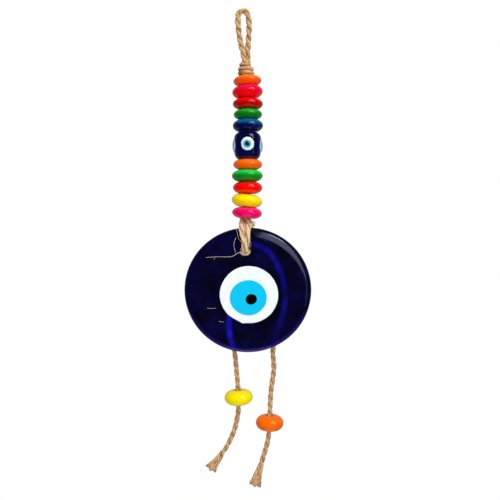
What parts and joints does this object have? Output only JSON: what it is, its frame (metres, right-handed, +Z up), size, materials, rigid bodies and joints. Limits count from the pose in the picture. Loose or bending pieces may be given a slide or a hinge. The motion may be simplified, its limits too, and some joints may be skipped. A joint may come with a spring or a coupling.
{
  "type": "evil eye ornament",
  "caption": "Hanging charm: a twine loop and knot over a column of round beads, a glass eye disc hung by its edge, and two beaded twine tails.",
  "frame": {"origin": "underside of the hanging loop's top, where the nail or hook bears", "axes": "+Z up along the hanging twine, -Y towards the viewer, +X to the viewer's right"},
  "size_m": [0.07, 0.0221, 0.2678],
  "materials": {
    "jute_twine": "rough two-ply plant fibre",
    "bead_orange": "gloss lacquer",
    "bead_pink": "gloss lacquer",
    "bead_red": "gloss lacquer",
    "bead_green": "gloss lacquer",
    "bead_blue": "gloss lacquer",
    "bead_yellow": "gloss lacquer",
    "cobalt_glass": "deep cobalt, polished",
    "white_glass": "opaque, polished",
    "sky_blue_glass": "opaque, polished",
    "bead_iris_glass": "opaque, polished",
    "black_glass": "opaque, polished"
  },
  "bodies": {
    "loop": {"hanging_loop": "jute_twine"},
    "neck": {"neck_strand_left": "jute_twine", "neck_strand_right": "jute_twine"},
    "column": {"top_knot": "jute_twine", "column_strand_left": "jute_twine", "column_strand_right": "jute_twine"},
    "bead_01_orange": {"bead_01_orange": "bead_orange"},
    "bead_02_pink": {"bead_02_pink": "bead_pink"},
    "bead_03_red": {"bead_03_red": "bead_red"},
    "bead_04_green": {"bead_04_green": "bead_green"},
    "bead_05_blue": {"bead_05_blue": "bead_blue"},
    "eye_bead": {"eye_bead_body": "cobalt_glass", "eye_bead_whites": "white_glass", "eye_bead_irises": "bead_iris_glass", "eye_bead_pupils": "black_glass"},
    "bead_07_orange": {"bead_07_orange": "bead_orange"},
    "bead_08_green": {"bead_08_green": "bead_green"},
    "bead_09_red": {"bead_09_red": "bead_red"},
    "bead_10_yellow": {"bead_10_yellow": "bead_yellow"},
    "bead_11_pink": {"bead_11_pink": "bead_pink"},
    "disc_knot": {"lower_knot": "jute_twine", "lower_knot_cut_end": "jute_twine"},
    "disc": {"disc_body": "cobalt_glass", "disc_white": "white_glass", "disc_iris": "sky_blue_glass", "disc_pupil": "black_glass", "disc_strand_left": "jute_twine", "disc_strand_right": "jute_twine", "tail_hitch": "jute_twine"},
    "tail_left": {"tail_left_upper": "jute_twine"},
    "tail_left_end": {"tail_left_lower": "jute_twine", "tail_left_fray": "jute_twine"},
    "yellow_bead": {"tail_bead_yellow": "bead_yellow"},
    "tail_right": {"tail_right_upper": "jute_twine"},
    "tail_right_end": {"tail_right_lower": "jute_twine", "tail_right_fray": "jute_twine"},
    "orange_bead": {"tail_bead_orange": "bead_orange"}
  },
  "joints": [
    {"name": "neck_sway", "type": "hinge", "parent": "loop", "child": "neck", "pos_m": [0.0007, 0, -0.0218], "axis": [0, 1, 0], "range_deg": [-25, 25]},
    {"name": "column_swing", "type": "hinge", "parent": "neck", "child": "column", "pos_m": [0.00175, 0, -0.028], "axis": [1, 0, 0], "range_deg": [-25, 25]},
    {"name": "bead_01_orange_spin", "type": "hinge", "parent": "column", "child": "bead_01_orange", "pos_m": [0.00215, 0, -0.03807], "axis": [-0.0523, 0, 0.9986], "continuous": true},
    {"name": "bead_02_pink_spin", "type": "hinge", "parent": "column", "child": "bead_02_pink", "pos_m": [0.0022, 0, -0.04416], "axis": [-0.0593, 0, 0.9982], "continuous": true},
    {"name": "bead_03_red_spin", "type": "hinge", "parent": "column", "child": "bead_03_red", "pos_m": [0.0024, 0, -0.05077], "axis": [0, 0, 1], "continuous": true},
    {"name": "bead_04_green_spin", "type": "hinge", "parent": "column", "child": "bead_04_green", "pos_m": [0.00245, 0, -0.05658], "axis": [-0.0175, 0, 0.9998], "continuous": true},
    {"name": "bead_05_blue_spin", "type": "hinge", "parent": "column", "child": "bead_05_blue", "pos_m": [0.00245, 0, -0.06276], "axis": [-0.0175, 0, 0.9998], "continuous": true},
    {"name": "eye_bead_spin", "type": "hinge", "parent": "column", "child": "eye_bead", "pos_m": [0.00225, 0, -0.07383], "axis": [0, 0, 1], "continuous": true},
    {"name": "bead_07_orange_spin", "type": "hinge", "parent": "column", "child": "bead_07_orange", "pos_m": [0.00235, 0, -0.08416], "axis": [0, 0, 1], "continuous": true},
    {"name": "bead_08_green_spin", "type": "hinge", "parent": "column", "child": "bead_08_green", "pos_m": [0.0021, 0, -0.09036], "axis": [-0.0087, 0, 1], "continuous": true},
    {"name": "bead_09_red_spin", "type": "hinge", "parent": "column", "child": "bead_09_red", "pos_m": [0.0023, 0, -0.09694], "axis": [0.0087, 0, 1], "continuous": true},
    {"name": "bead_10_yellow_spin", "type": "hinge", "parent": "column", "child": "bead_10_yellow", "pos_m": [0.00185, 0, -0.10415], "axis": [0.1132, 0, 0.9936], "continuous": true},
    {"name": "bead_11_pink_spin", "type": "hinge", "parent": "column", "child": "bead_11_pink", "pos_m": [0.00195, 0, -0.11084], "axis": [0.0628, 0, 0.998], "continuous": true},
    {"name": "disc_sway", "type": "hinge", "parent": "column", "child": "disc_knot", "pos_m": [0.00215, 0, -0.1169], "axis": [0, 1, 0], "range_deg": [-20, 20]},
    {"name": "disc_tilt", "type": "hinge", "parent": "disc_knot", "child": "disc", "pos_m": [0.00215, 0, -0.1169], "axis": [1, 0, 0], "range_deg": [-25, 25]},
    {"name": "tail_left_swing", "type": "hinge", "parent": "disc", "child": "tail_left", "pos_m": [0.0015, 0.007, -0.126], "axis": [0, 1, 0], "range_deg": [-2.5, 35]},
    {"name": "tail_left_flex", "type": "hinge", "parent": "tail_left", "child": "tail_left_end", "pos_m": [-0.005, 0.00575, -0.1886], "axis": [1, 0, 0], "range_deg": [-35, 35]},
    {"name": "yellow_bead_slide", "type": "slide", "parent": "tail_left_end", "child": "yellow_bead", "axis": [-0.0649, 0, 0.9979], "range_m": [-0.0025, 0.004]},
    {"name": "tail_right_swing", "type": "hinge", "parent": "disc", "child": "tail_right", "pos_m": [0.0015, 0.007, -0.126], "axis": [0, 1, 0], "range_deg": [-30, 2.5]},
    {"name": "tail_right_flex", "type": "hinge", "parent": "tail_right", "child": "tail_right_end", "pos_m": [0.0163, 0.00575, -0.188], "axis": [1, 0, 0], "range_deg": [-35, 35]},
    {"name": "orange_bead_slide", "type": "slide", "parent": "tail_right_end", "child": "orange_bead", "axis": [0.0276, 0, 0.9996], "range_m": [-0.003, 0.004]}
  ]
}
